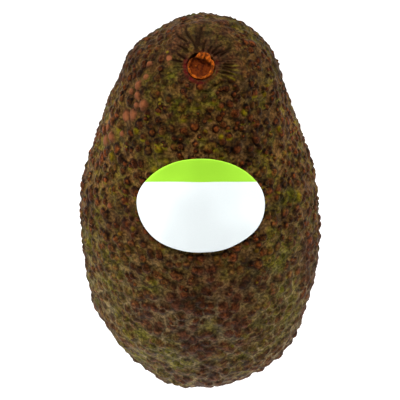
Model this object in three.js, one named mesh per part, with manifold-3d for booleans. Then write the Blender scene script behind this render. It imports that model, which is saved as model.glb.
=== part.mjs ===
// A large ripe avocado lying on its flank, with the dried stub of its stem in the stem cavity and a blank
// oval paper sticker on its upper side. Millimetres, +Z up. The stem end points to -Y, and the origin is the
// middle of the small flat spot that the fruit lies on.

import * as THREE from "three";
import { ConvexHull } from "three/addons/math/ConvexHull.js";
import { mergeVertices } from "three/addons/utils/BufferGeometryUtils.js";
import Module from "manifold-3d";

// Fruit body: a pear-shaped solid about the Y axis, its neck lifted a little towards the upper side. Its
// profile is an ellipse with its radius changed by waves along it: one makes the neck slimmer than the
// blossom end, and the shorter ones make both ends blunter.
const FRUIT_LENGTH = 122.4;
const BELLY_RADIUS = 35.2;
const PROFILE_WAVES = [-0.088, 0.072, 0.035, 0.025];
const NECK_LIFT = 3;

// Uneven growth: the body swells towards one side and is as much leaner on the other. Each swell has its
// polar angle from the neck's tip, its spread, the turn that it points to (180 is -X, -90 is down) and its
// height.
const SWELLS = [
  { polar: 22, spread: 14, turn: 180, height: 1.75 },
  { polar: 52, spread: 22, turn: 0, height: 0.6 },
  { polar: 92, spread: 22, turn: 20, height: 0.25 },
  { polar: 118, spread: 24, turn: -100, height: 0.5 },
  { polar: 140, spread: 20, turn: 180, height: 0.95 },
  { polar: 165, spread: 12, turn: 0, height: 1.9 },
];

// Lumps: low swellings and one dent, in the same terms, each on the side of the body that it points to alone.
const LUMPS = [
  { polar: 35, spread: 6, turn: -25, height: 1.1 },
  { polar: 84, spread: 8, turn: 3, height: 0.8 },
  { polar: 107, spread: 8, turn: 8, height: -0.3 },
  { polar: 126, spread: 7, turn: 17, height: 1.4 },
  { polar: 41, spread: 8, turn: -171, height: 1.4 },
  { polar: 81, spread: 8, turn: 170, height: 0.6 },
  { polar: 137, spread: 8, turn: 156, height: 1.3 },
  { polar: 150, spread: 10, turn: 82, height: 0.7 },
];

// Swells and lumps fade out where the body narrows to less than this part of a ball's width.
const END_FADE = 1 / 3;

// Resting: the neck dips by this angle when the fruit lies on its flank, on a spot pressed flat this deep.
const REST_DIP = THREE.MathUtils.degToRad(9);
const REST_SPOT_DEPTH = 1;

// Pebbled skin: the count of pebbles over the whole fruit, and the crests and valleys of their relief.
const PEBBLE_COUNT = 1800;
const PEBBLE_CREST = 0.65;
const PEBBLE_VALLEY = -0.8;
const FLATTEST_PEBBLE = 0.85;
const TALLEST_PEBBLE = 1.1;
const PEBBLE_SCATTER = 0.24;
const JOINED_SHARE = 0.12;
const SKIN_SEED = 7;

// Stem end: where the scar lies, as the polar angle from the neck's tip, and the hollow around it.
const SCAR_ANGLE = THREE.MathUtils.degToRad(26);
const HOLLOW_DEPTH = 1.1;
const HOLLOW_RADIUS = 8.5;

// Ribs that fan out from the scar, longer towards the neck's tip than towards the sticker. Their turns are
// uneven by a share of the space between two ribs, and each rib wanders a little as it runs outwards.
const RIB_COUNT = 22;
const RIB_CREST = 0.4;
const RIB_GROOVE = -0.5;
const RIB_START = 5.7;
const RIB_STEP = 2.7;
const RIB_REACH_TIP = 14;
const RIB_REACH_BELLY = 7;
const RIB_UNEVENNESS = 0.3;
const RIB_WANDER = 0.05;
const RIB_FADE = 2;
const PEBBLE_TO_RIB = 0.45;

// Socket that the stem left in the flesh, and the stub of the stem that is still in it.
const SOCKET_RADIUS = 4.25;
const SOCKET_DEPTH = 2.6;
const STUB_CLEARANCE = 0.35;
const STUB_RIM_WIDTH = 0.8;
const STUB_RIM_HEIGHT = 0.1;
const STUB_RIM_WAVE = 0.08;
const STUB_EDGE = 0.25;
const STUB_HOLLOW_DEPTH = 1;
const STUB_HOLLOW_RISE = 0.25;
const STUB_TEAR_HEIGHT = 1.2;
const STUB_TEAR_WIDTH = 1.1;
const STUB_TEAR_SHARPNESS = 4;
const STUB_TEAR_ANGLE = THREE.MathUtils.degToRad(60);
const STUB_SIDES = 32;

// Sticker: an oval pressed on from a direction leaning from straight up towards the stem end.
const STICKER_WIDTH = 36.4;
const STICKER_HEIGHT = 27;
const STICKER_THICKNESS = 0.3;
const STICKER_GAP = 0.3;
const STICKER_LEAN = THREE.MathUtils.degToRad(30);
const STICKER_MIDDLE = -1.5;
const STICKER_SIDES = 40;

const HALF_LENGTH = FRUIT_LENGTH / 2;
const FULL_TURN = 2 * Math.PI;
const GOLDEN_TURN = Math.PI * (3 - Math.sqrt(5));

// A repeatable random draw from 0 to 1.
function seededDraw(seed) {
  let state = seed;
  return () => {
    state = (state + 0x6d2b79f5) | 0;
    let mixed = Math.imul(state ^ (state >>> 15), 1 | state);
    mixed = (mixed + Math.imul(mixed ^ (mixed >>> 7), 61 | mixed)) ^ mixed;
    return ((mixed ^ (mixed >>> 14)) >>> 0) / 4294967296;
  };
}

// Radius of the even body, without swells and lumps, at a polar angle from the neck's tip. At the belly it is
// the belly's.
function evenRadius(polar) {
  const wave = (angle, number) => PROFILE_WAVES[number] * Math.cos((number + 1) * angle);
  const fullness = (angle) => PROFILE_WAVES.reduce((sum, _, number) => sum + wave(angle, number), 1);
  return (BELLY_RADIUS * Math.sin(polar) * fullness(polar)) / fullness(Math.PI / 2);
}

// How high a swell or a lump stands at a polar angle, on the side that it points to.
function heightAt(place, polar) {
  const away = (polar - THREE.MathUtils.degToRad(place.polar)) / THREE.MathUtils.degToRad(place.spread);
  return place.height * Math.exp(-away * away);
}

// Radius of the smooth body at a polar angle from the neck's tip and a turn about its length.
function bodyRadius(polar, turn) {
  const fade = Math.min(1, Math.sin(polar) / END_FADE);
  const towards = (place) => Math.cos(turn - THREE.MathUtils.degToRad(place.turn));
  const swelling = SWELLS.reduce((sum, swell) => sum + heightAt(swell, polar) * towards(swell), 0);
  const oneSided = (lump) => heightAt(lump, polar) * Math.max(0, towards(lump)) ** 2;
  const lumps = LUMPS.reduce((sum, lump) => sum + oneSided(lump), 0);
  return evenRadius(polar) + fade * (swelling + lumps);
}

// Height of the body's curved middle line at a place along its length.
function middleLineHeight(y) {
  const towardsNeck = THREE.MathUtils.clamp((HALF_LENGTH - y) / FRUIT_LENGTH, 0, 1);
  return NECK_LIFT * towardsNeck ** 3;
}

// A point of the smooth body, at a polar angle from the neck's tip and a turn about its length.
function bodyPoint(polar, turn) {
  const y = -HALF_LENGTH * Math.cos(polar);
  const radius = bodyRadius(polar, turn);
  return new THREE.Vector3(radius * Math.cos(turn), y, radius * Math.sin(turn) + middleLineHeight(y));
}

// The polar angle from the neck's tip and the turn about the body's length at which a point lies.
function anglesOf(point) {
  const polar = Math.acos(THREE.MathUtils.clamp(-point.y / HALF_LENGTH, -1, 1));
  return { polar, turn: Math.atan2(point.z - middleLineHeight(point.y), point.x) };
}

// How far a point stands out of the smooth body, measured across its length.
function heightOverBody(point) {
  const { polar, turn } = anglesOf(point);
  return Math.hypot(point.x, point.z - middleLineHeight(point.y)) - bodyRadius(polar, turn);
}

// The outward direction of the smooth body at a point on it.
function outward(point) {
  const step = 0.05;
  const slope = (axis) => {
    const ahead = point.clone().addScaledVector(axis, step);
    const behind = point.clone().addScaledVector(axis, -step);
    return heightOverBody(ahead) - heightOverBody(behind);
  };
  const x = slope(new THREE.Vector3(1, 0, 0));
  const y = slope(new THREE.Vector3(0, 1, 0));
  const z = slope(new THREE.Vector3(0, 0, 1));
  return new THREE.Vector3(x, y, z).normalize();
}

// Stations along the body's profile: polar angle, skin area up to it, and its latitude on a round ball whose
// angles match the body's, so that an even net on the ball is an even net on the fruit.
function profileStations() {
  const count = 1200;
  const margin = 1e-4;
  const stations = [];
  let area = 0;
  let stretch = 0;
  let last = null;
  for (let i = 0; i <= count; i++) {
    const polar = margin + ((Math.PI - 2 * margin) * i) / count;
    const y = -HALF_LENGTH * Math.cos(polar);
    const radius = evenRadius(polar);
    if (last) {
      const run = Math.hypot(y - last.y, radius - last.radius);
      const middleRadius = (radius + last.radius) / 2;
      area += FULL_TURN * middleRadius * run;
      stretch += run / middleRadius;
    }
    last = { polar, y, radius, area, stretch };
    stations.push(last);
  }
  const middle = stations[count / 2].stretch;
  stations.forEach((s) => (s.latitude = 2 * Math.atan(Math.exp(s.stretch - middle))));
  return stations;
}

const stations = profileStations();

// Reads one column of the stations at a value of another, between the two nearest stations.
function lookUp(from, value, to) {
  let low = 0;
  let high = stations.length - 1;
  while (high - low > 1) {
    const middle = (low + high) >> 1;
    if (stations[middle][from] < value) low = middle;
    else high = middle;
  }
  const a = stations[low];
  const b = stations[high];
  const share = THREE.MathUtils.clamp((value - a[from]) / (b[from] - a[from]), 0, 1);
  return a[to] + (b[to] - a[to]) * share;
}

function ballDirection(polar, turn) {
  const latitude = lookUp("polar", polar, "latitude");
  const across = Math.sin(latitude);
  return new THREE.Vector3(across * Math.cos(turn), -Math.cos(latitude), across * Math.sin(turn));
}

function pointFromBall(direction) {
  const latitude = Math.acos(THREE.MathUtils.clamp(-direction.y, -1, 1));
  const turn = Math.atan2(direction.z, direction.x);
  return bodyPoint(lookUp("latitude", latitude, "polar"), turn);
}

// The stem scar's middle and its own directions: out of the skin, towards the neck's tip, and across.
const scarMiddle = bodyPoint(SCAR_ANGLE, Math.PI / 2);
const scarOut = outward(scarMiddle);
const scarAcross = new THREE.Vector3(-1, 0, 0);
const scarTipward = new THREE.Vector3().crossVectors(scarOut, scarAcross);

// Distance from the scar's middle, and the turn about it, counted from across towards the neck's tip.
function aboutScar(point) {
  const offset = point.clone().sub(scarMiddle);
  const turn = Math.atan2(offset.dot(scarTipward), offset.dot(scarAcross));
  return { distance: offset.length(), turn };
}

function ribReach(turn) {
  return THREE.MathUtils.mapLinear(Math.sin(turn), -1, 1, RIB_REACH_BELLY, RIB_REACH_TIP);
}

// A point of the skin beside the scar, at a distance and a turn about it.
function pointBesideScar(distance, turn) {
  const flat = scarMiddle
    .clone()
    .addScaledVector(scarAcross, distance * Math.cos(turn))
    .addScaledVector(scarTipward, distance * Math.sin(turn));
  return dropOntoBody(flat, scarOut);
}

// Moves a point along a direction until it lies on the smooth body.
function dropOntoBody(point, direction) {
  const reach = 60;
  let low = -reach;
  let high = reach;
  const at = (distance) => point.clone().addScaledVector(direction, distance);
  for (let i = 0; i < 50; i++) {
    const middle = (low + high) / 2;
    if (heightOverBody(at(middle)) > 0) high = middle;
    else low = middle;
  }
  return at((low + high) / 2);
}

function ballFromPoint(point) {
  const { polar, turn } = anglesOf(point);
  return ballDirection(polar, turn);
}

// Crests of the skin: pebbles spread evenly over the fruit by area along a spiral and then scattered, and
// rows of rib crests that fan out from the scar. Each is a direction on the ball.
function skinCrests(draw) {
  const crests = [];
  const totalArea = stations[stations.length - 1].area;
  const spacing = Math.sqrt(totalArea / PEBBLE_COUNT);
  for (let i = 0; i < PEBBLE_COUNT; i++) {
    const polar = lookUp("area", (totalArea * (i + 0.5)) / PEBBLE_COUNT, "polar");
    const scatter = () => (draw() - 0.5) * 2 * PEBBLE_SCATTER * spacing;
    const point = bodyPoint(polar, i * GOLDEN_TURN).add(new THREE.Vector3(scatter(), scatter(), scatter()));
    const { distance, turn } = aboutScar(point);
    const clearOfRibs = Math.max(ribReach(turn), RIB_START) + PEBBLE_TO_RIB * spacing;
    const height = THREE.MathUtils.lerp(FLATTEST_PEBBLE, TALLEST_PEBBLE, draw());
    if (distance > clearOfRibs) crests.push({ direction: ballFromPoint(point), height, rib: -1 });
  }
  for (let rib = 0; rib < RIB_COUNT; rib++) {
    const turn = (FULL_TURN * (rib + RIB_UNEVENNESS * draw())) / RIB_COUNT;
    for (let distance = RIB_START; distance <= ribReach(turn); distance += RIB_STEP) {
      const point = pointBesideScar(distance, turn + RIB_WANDER * (draw() - 0.5));
      crests.push({ direction: ballFromPoint(point), height: 1, rib });
    }
  }
  crests.push({ direction: ballFromPoint(scarMiddle), height: 0, rib: -1 });
  return crests;
}

// The faces of the net that joins neighbouring crests, each as three crest numbers.
function netFaces(crests) {
  const number = new Map();
  crests.forEach((crest, i) => number.set(crest.direction, i));
  const hull = new ConvexHull().setFromPoints(crests.map((crest) => crest.direction));
  return hull.faces.map((face) => {
    const corners = [];
    let edge = face.edge;
    do {
      corners.push(number.get(edge.head().point));
      edge = edge.next;
    } while (edge !== face.edge);
    return corners;
  });
}

// Moves a point of the smooth body to the skin: the hollow round the scar, and a crest or a valley.
function raised(point, crestShare) {
  const { distance, turn } = aboutScar(point);
  const hollow = -HOLLOW_DEPTH * Math.exp(-((distance / HOLLOW_RADIUS) ** 2));
  const reach = ribReach(turn);
  const ribbed = 1 - THREE.MathUtils.smoothstep(distance, reach - RIB_FADE, reach + RIB_FADE);
  const crest = THREE.MathUtils.lerp(PEBBLE_CREST, RIB_CREST, ribbed);
  const valley = THREE.MathUtils.lerp(PEBBLE_VALLEY, RIB_GROOVE, ribbed);
  const relief = THREE.MathUtils.lerp(valley, crest, crestShare);
  return point.clone().addScaledVector(outward(point), hollow + relief);
}

// The pebbled skin: each pair of neighbouring crests has a four-sided patch between them, with the middles of
// the two net faces beside it as its low corners. It folds along its valley, or along its ridge where the two
// crests belong to one rib or one long pebble.
function skinGeometry() {
  const draw = seededDraw(SKIN_SEED);
  const crests = skinCrests(draw);
  const faces = netFaces(crests);
  const positions = [];
  crests.forEach(({ direction, height }) => positions.push(...raised(pointFromBall(direction), height)));
  const besides = new Map();
  faces.forEach((corners, face) => {
    const middle = new THREE.Vector3();
    corners.forEach((corner) => middle.add(crests[corner].direction));
    positions.push(...raised(pointFromBall(middle.normalize()), 0));
    corners.forEach((from, i) => {
      const to = corners[(i + 1) % corners.length];
      besides.set(`${from},${to}`, crests.length + face);
    });
  });
  const index = [];
  for (const [pair, left] of besides) {
    const [from, to] = pair.split(",").map(Number);
    if (from > to) continue;
    const right = besides.get(`${to},${from}`);
    const sameRib = crests[from].rib >= 0 && crests[from].rib === crests[to].rib;
    const oneLongPebble = crests[from].rib < 0 && crests[to].rib < 0 && draw() < JOINED_SHARE;
    if (sameRib || oneLongPebble) index.push(from, to, left, to, from, right);
    else index.push(from, right, left, to, left, right);
  }
  return indexedGeometry(positions, index);
}

function indexedGeometry(positions, index) {
  const geometry = new THREE.BufferGeometry();
  geometry.setAttribute("position", new THREE.Float32BufferAttribute(positions, 3));
  geometry.setIndex(index);
  geometry.computeVertexNormals();
  return geometry;
}

// A closed body from a start point, rings of the same number of points, and an end point. Seen from outside
// the start, each ring runs counterclockwise.
function closedFromRings(start, rings, end) {
  const around = rings[0].length;
  const positions = [...start];
  rings.forEach((ring) => ring.forEach((point) => positions.push(...point)));
  positions.push(...end);
  const endNumber = positions.length / 3 - 1;
  const number = (ring, i) => 1 + ring * around + (i % around);
  const index = [];
  for (let i = 0; i < around; i++) {
    index.push(0, number(0, i), number(0, i + 1));
    for (let ring = 0; ring + 1 < rings.length; ring++) {
      index.push(number(ring, i), number(ring + 1, i), number(ring, i + 1));
      index.push(number(ring, i + 1), number(ring + 1, i), number(ring + 1, i + 1));
    }
    index.push(number(rings.length - 1, i + 1), number(rings.length - 1, i), endNumber);
  }
  return indexedGeometry(positions, index);
}

// A point given by its distance from the scar's axis, its turn about it and its height along it.
function onScarAxis(distance, turn, height) {
  return scarMiddle
    .clone()
    .addScaledVector(scarAcross, distance * Math.cos(turn))
    .addScaledVector(scarTipward, distance * Math.sin(turn))
    .addScaledVector(scarOut, height);
}

const ringTurns = (count) => Array.from({ length: count }, (_, i) => (FULL_TURN * i) / count);

// The hole that the stem left: straight sides and a floor, open far above the skin.
function socketGeometry() {
  const top = 8;
  const floor = -HOLLOW_DEPTH - SOCKET_DEPTH;
  const ring = (height) => ringTurns(STUB_SIDES).map((turn) => onScarAxis(SOCKET_RADIUS, turn, height));
  return closedFromRings(onScarAxis(0, 0, top), [ring(top), ring(floor)], onScarAxis(0, 0, floor));
}

// The stub of the stem: a plug with a hollow in its broken end, and a torn flap standing up from its rim.
function stubGeometry() {
  const outer = SOCKET_RADIUS - STUB_CLEARANCE;
  const floor = -HOLLOW_DEPTH - SOCKET_DEPTH + STUB_CLEARANCE;
  const rim = -HOLLOW_DEPTH + STUB_RIM_HEIGHT;
  const hollow = rim - STUB_HOLLOW_DEPTH;
  const tear = (turn) => Math.exp(STUB_TEAR_SHARPNESS * (Math.cos(turn - STUB_TEAR_ANGLE) - 1));
  const rimTop = (turn) => rim + STUB_TEAR_HEIGHT * tear(turn) + STUB_RIM_WAVE * Math.sin(5 * turn);
  const rimInside = (turn) => outer - STUB_RIM_WIDTH - STUB_TEAR_WIDTH * tear(turn);
  const turns = ringTurns(STUB_SIDES);
  const ring = (radius, height) => turns.map((turn) => onScarAxis(radius(turn), turn, height(turn)));
  const rings = [
    ring((turn) => rimInside(turn) / 2, () => hollow + STUB_HOLLOW_RISE / 2),
    ring((turn) => rimInside(turn) - STUB_EDGE, () => hollow),
    ring(rimInside, (turn) => rimTop(turn) - STUB_EDGE),
    ring((turn) => rimInside(turn) + STUB_EDGE, rimTop),
    ring(() => outer - STUB_EDGE, rimTop),
    ring(() => outer, (turn) => rimTop(turn) - STUB_EDGE),
    ring(() => outer - STUB_EDGE, () => floor),
  ];
  const middle = hollow + STUB_HOLLOW_RISE;
  return closedFromRings(onScarAxis(0, 0, middle), rings, onScarAxis(0, 0, floor));
}

// The sticker: an oval sheet of even thickness that follows the fruit just clear of its pebbles.
function stickerGeometry() {
  const pressedFrom = new THREE.Vector3(0, -Math.sin(STICKER_LEAN), Math.cos(STICKER_LEAN));
  const across = new THREE.Vector3(-1, 0, 0);
  const tipward = new THREE.Vector3().crossVectors(pressedFrom, across);
  const under = PEBBLE_CREST * TALLEST_PEBBLE + STICKER_GAP;
  const at = (share, turn, height) => {
    const flat = new THREE.Vector3()
      .addScaledVector(across, ((share * STICKER_WIDTH) / 2) * Math.cos(turn))
      .addScaledVector(tipward, STICKER_MIDDLE + ((share * STICKER_HEIGHT) / 2) * Math.sin(turn))
      .addScaledVector(pressedFrom, BELLY_RADIUS);
    const point = dropOntoBody(flat, pressedFrom);
    return point.addScaledVector(outward(point), height);
  };
  const ring = (share, height) => ringTurns(STICKER_SIDES).map((turn) => at(share, turn, height));
  const shares = [0.2, 0.4, 0.6, 0.8, 1];
  const top = under + STICKER_THICKNESS;
  const upper = shares.map((share) => ring(share, top));
  const lower = shares.map((share) => ring(share, under)).reverse();
  return closedFromRings(at(0, 0, top), [...upper, ...lower], at(0, 0, under));
}

const manifold = await Module();
manifold.setup();

// A three.js geometry as a solid that can be cut.
function solidOf(geometry) {
  const bare = geometry.clone().deleteAttribute("normal");
  if (bare.getAttribute("uv")) bare.deleteAttribute("uv");
  const merged = mergeVertices(bare, 1e-4);
  const mesh = new manifold.Mesh({
    numProp: 3,
    vertProperties: new Float32Array(merged.getAttribute("position").array),
    triVerts: new Uint32Array(merged.getIndex().array),
  });
  return new manifold.Manifold(mesh);
}

function geometryOf(solid) {
  const mesh = solid.getMesh();
  return indexedGeometry(Array.from(mesh.vertProperties), Array.from(mesh.triVerts));
}

// Lays a geometry of the fruit's own frame on the table: the neck dips, and the lowest part of the flank
// comes to the table and is pressed into it by the depth of its flat spot.
const lowestPoint = (() => {
  const lying = new THREE.Euler(REST_DIP, 0, 0);
  let lowest = new THREE.Vector3(0, 0, 0);
  for (const { polar } of stations) {
    const point = bodyPoint(polar, -Math.PI / 2).applyEuler(lying);
    if (point.z < lowest.z) lowest = point;
  }
  return lowest;
})();

function laidDown(geometry) {
  const { y, z } = lowestPoint;
  return geometry.rotateX(REST_DIP).translate(0, -y, -z - REST_SPOT_DEPTH);
}

// The fruit: the pebbled skin with the stem's socket cut out of it and its resting spot cut flat.
function fruitGeometry() {
  const side = 2 * FRUIT_LENGTH;
  const table = new THREE.BoxGeometry(side, side, side).translate(0, 0, -side / 2);
  const skin = solidOf(laidDown(skinGeometry()));
  const socket = solidOf(laidDown(socketGeometry()));
  return geometryOf(skin.subtract(socket).subtract(solidOf(table)));
}

function named(name, geometry, color, roughness) {
  const material = new THREE.MeshStandardMaterial({ color, roughness, metalness: 0 });
  const mesh = new THREE.Mesh(geometry, material);
  mesh.name = name;
  return mesh;
}

const avocado = new THREE.Group();
avocado.add(named("fruit", fruitGeometry(), 0x45391f, 0.55));
avocado.add(named("stem_stub", laidDown(stubGeometry()), 0xa8541a, 0.8));
avocado.add(named("sticker", laidDown(stickerGeometry()), 0xeef4f4, 0.45));

export default avocado;
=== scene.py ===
"""Dressed scene of a large ripe avocado lying on its flank, with its stem stub and a blank oval sticker."""
import logging
import math
from dataclasses import dataclass, field
from enum import Enum
from typing import Optional, Sequence, Union

import bpy
import numpy as np
from mathutils import Matrix, Vector, kdtree
from mathutils.geometry import delaunay_2d_cdt


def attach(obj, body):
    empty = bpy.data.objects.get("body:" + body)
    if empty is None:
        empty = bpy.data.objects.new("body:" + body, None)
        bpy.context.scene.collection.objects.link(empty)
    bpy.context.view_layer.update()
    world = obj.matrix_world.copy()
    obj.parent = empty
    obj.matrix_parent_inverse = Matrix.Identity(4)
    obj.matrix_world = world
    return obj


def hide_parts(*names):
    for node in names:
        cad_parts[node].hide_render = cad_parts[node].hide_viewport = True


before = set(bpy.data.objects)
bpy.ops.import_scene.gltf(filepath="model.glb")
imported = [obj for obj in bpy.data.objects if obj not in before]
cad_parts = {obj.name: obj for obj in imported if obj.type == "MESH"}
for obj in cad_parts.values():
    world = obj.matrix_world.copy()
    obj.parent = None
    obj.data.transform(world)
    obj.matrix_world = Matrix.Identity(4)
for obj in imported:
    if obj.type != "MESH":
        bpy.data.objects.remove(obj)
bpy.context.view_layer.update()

Array = np.ndarray
Socket = bpy.types.NodeSocket
Colour = tuple[float, float, float, float]
Value = Union[float, Colour, Socket]

MM = 0.001
FULL_TURN = 2 * math.pi
GOLDEN_TURN = math.pi * (3 - math.sqrt(5))
LOG = logging.getLogger("avocado")


def colour(red: int, green: int, blue: int) -> Colour:
    """Turns a screen colour of 0 to 255 into the light values that shaders use."""
    def light(channel: int) -> float:
        """Undoes the screen's response curve for one channel."""
        share = channel / 255
        return share / 12.92 if share <= 0.04045 else ((share + 0.055) / 1.055) ** 2.4
    return (light(red), light(green), light(blue), 1.0)


def smooth(low: float, high: float, value: Array) -> Array:
    """Rises smoothly from 0 at low to 1 at high."""
    share = np.clip((value - low) / (high - low), 0, 1)
    return share * share * (3 - 2 * share)


def bump(value: Array, middle: float, width: float) -> Array:
    """A bell of height 1 around a middle value."""
    return np.exp(-(((value - middle) / width) ** 2))


def turn_gap(turn: Array, other: float) -> Array:
    """The signed angle from one turn to another, the short way round."""
    return (turn - other + math.pi) % FULL_TURN - math.pi


@dataclass(frozen=True)
class Swell:
    """The body swells towards one side and is as much leaner on the other.

    Angles are in degrees: polar from the neck's tip, and turn about the body's length. Height is in mm.
    """

    polar: float
    spread: float
    turn: float
    height: float


@dataclass(frozen=True)
class Lump:
    """A broad lump on one side of the body, or a dent where its height is below 0; as a swell otherwise."""

    polar: float
    spread: float
    turn: float
    height: float


@dataclass(frozen=True)
class BodyForm:
    """The smooth pear-shaped body, in mm, in its own frame with its length along Y and the stem end at -Y."""

    length: float = 122.4
    belly_radius: float = 35.2
    waves: tuple[float, ...] = (-0.088, 0.072, 0.035, 0.025)
    neck_lift: float = 3.0
    rest_dip: float = math.radians(9)
    rest_depth: float = 1.0
    swells: tuple[Swell, ...] = (
        Swell(22, 14, 180, 1.75),
        Swell(52, 22, 0, 0.6),
        Swell(92, 22, 20, 0.25),
        Swell(118, 24, -100, 0.5),
        Swell(140, 20, 180, 0.95),
        Swell(165, 12, 0, 1.9),
    )
    lumps: tuple[Lump, ...] = (
        Lump(35, 6, -25, 1.1),
        Lump(84, 8, 3, 0.8),
        Lump(107, 8, 8, -0.3),
        Lump(126, 7, 17, 1.4),
        Lump(41, 8, -171, 1.4),
        Lump(81, 8, 170, 0.6),
        Lump(137, 8, 156, 1.3),
        Lump(150, 10, 82, 0.7),
    )

    @property
    def half(self) -> float:
        """Half of the body's length."""
        return self.length / 2

    def fullness(self, polar: Array) -> Array:
        """How much fuller than an ellipse the profile is at a polar angle."""
        return 1 + sum(size * np.cos((i + 1) * polar) for i, size in enumerate(self.waves))

    def even_radius(self, polar: Array) -> Array:
        """Radius of the body without its swells."""
        belly = self.fullness(np.array(math.pi / 2))
        return self.belly_radius * np.sin(polar) * self.fullness(polar) / belly

    def radius(self, polar: Array, turn: Array) -> Array:
        """Radius of the body at a polar angle and a turn about its length.

        Args:
            polar: Angles from the neck's tip, in radians.
            turn: Turns about the length, in radians.

        Returns:
            The radii in mm.
        """
        fade = np.minimum(1, 3 * np.sin(polar))
        radius = self.even_radius(polar)
        for swell in self.swells:
            towards = np.cos(turn - math.radians(swell.turn))
            place = bump(polar, math.radians(swell.polar), math.radians(swell.spread))
            radius = radius + swell.height * towards * fade * place
        for lump in self.lumps:
            towards = np.maximum(0, np.cos(turn - math.radians(lump.turn))) ** 2
            place = bump(polar, math.radians(lump.polar), math.radians(lump.spread))
            radius = radius + lump.height * towards * fade * place
        return radius

    def middle_height(self, y: Array) -> Array:
        """Height of the body's curved middle line."""
        return self.neck_lift * np.clip((self.half - y) / self.length, 0, 1) ** 3

    def points(self, polar: Array, turn: Array) -> Array:
        """Points of the smooth body as an array of N by 3."""
        y = -self.half * np.cos(polar)
        radius = self.radius(polar, turn)
        return np.stack([radius * np.cos(turn), y, radius * np.sin(turn) + self.middle_height(y)], -1)

    def angles(self, points: Array) -> tuple[Array, Array]:
        """The polar angle and the turn at which points lie."""
        polar = np.arccos(np.clip(-points[..., 1] / self.half, -1, 1))
        turn = np.arctan2(points[..., 2] - self.middle_height(points[..., 1]), points[..., 0])
        return polar, turn

    def height_over(self, points: Array) -> Array:
        """How far points stand out of the smooth body, measured across its length."""
        polar, turn = self.angles(points)
        across = np.hypot(points[..., 0], points[..., 2] - self.middle_height(points[..., 1]))
        return across - self.radius(polar, turn)

    def normals(self, points: Array, step: float = 0.05) -> Array:
        """The outward directions of the smooth body at points on it.

        Args:
            points: Points of the body, N by 3.
            step: Distance over which the slope is measured.

        Returns:
            Unit directions, N by 3.
        """
        slopes = []
        for axis in np.eye(3):
            slopes.append(self.height_over(points + axis * step) - self.height_over(points - axis * step))
        slope = np.stack(slopes, -1)
        return slope / np.linalg.norm(slope, axis=-1, keepdims=True)

    def dropped(self, points: Array, direction: Array, reach: float = 60) -> Array:
        """Moves points along a direction until they lie on the smooth body.

        Args:
            points: Points near the body, N by 3.
            direction: The direction out of the body.
            reach: The farthest that a point may move.

        Returns:
            The points on the body.
        """
        low = np.full(len(points), -reach)
        high = np.full(len(points), reach)
        for _ in range(50):
            middle = (low + high) / 2
            outside = self.height_over(points + middle[:, None] * direction) > 0
            high = np.where(outside, middle, high)
            low = np.where(outside, low, middle)
        return points + ((low + high) / 2)[:, None] * direction

    def laid(self, points: Array) -> Array:
        """Points of the body's own frame, laid on the table in metres."""
        polar = np.linspace(0.0001, math.pi - 0.0001, 1201)
        flank = self._dipped(self.points(polar, np.full_like(polar, -math.pi / 2)))
        lowest = flank[flank[:, 2].argmin()]
        offset = np.array([0, -lowest[1], -lowest[2] - self.rest_depth])
        return (self._dipped(points) + offset) * MM

    def _dipped(self, points: Array) -> Array:
        """Points turned about X by the angle that the neck dips."""
        cos, sin = math.cos(self.rest_dip), math.sin(self.rest_dip)
        y = points[..., 1] * cos - points[..., 2] * sin
        z = points[..., 1] * sin + points[..., 2] * cos
        return np.stack([points[..., 0], y, z], -1)


@dataclass
class BallMap:
    """A round ball whose surface matches the body's angle for angle, so that an even net stays even on it."""

    body: BodyForm
    stations: int = 1201
    polar: Array = field(init=False)
    latitude: Array = field(init=False)
    area: Array = field(init=False)

    def __post_init__(self) -> None:
        """Measures the body's profile at its stations."""
        self.polar = np.linspace(0.0001, math.pi - 0.0001, self.stations)
        radius = self.body.even_radius(self.polar)
        run = np.hypot(np.diff(-self.body.half * np.cos(self.polar)), np.diff(radius))
        middle = (radius[1:] + radius[:-1]) / 2
        stretch = np.concatenate([[0], np.cumsum(run / middle)])
        self.area = np.concatenate([[0], np.cumsum(FULL_TURN * middle * run)])
        self.latitude = 2 * np.arctan(np.exp(stretch - stretch[self.stations // 2]))

    def directions(self, polar: Array, turn: Array) -> Array:
        """Directions on the ball for places on the body."""
        latitude = np.interp(polar, self.polar, self.latitude)
        across = np.sin(latitude)
        return np.stack([across * np.cos(turn), -np.cos(latitude), across * np.sin(turn)], -1)

    def places(self, directions: Array) -> tuple[Array, Array]:
        """The polar angle and turn on the body for directions on the ball."""
        latitude = np.arccos(np.clip(-directions[..., 1], -1, 1))
        turn = np.arctan2(directions[..., 2], directions[..., 0])
        return np.interp(latitude, self.latitude, self.polar), turn

    def scale(self, polar: Array) -> Array:
        """How many mm of skin one radian of the ball covers."""
        latitude = np.interp(polar, self.polar, self.latitude)
        return self.body.even_radius(polar) / np.maximum(np.sin(latitude), 1e-4)

    def polar_at_area(self, share: Array) -> Array:
        """The polar angle up to which a share of the skin lies."""
        return np.interp(share * self.area[-1], self.area, self.polar)


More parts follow.
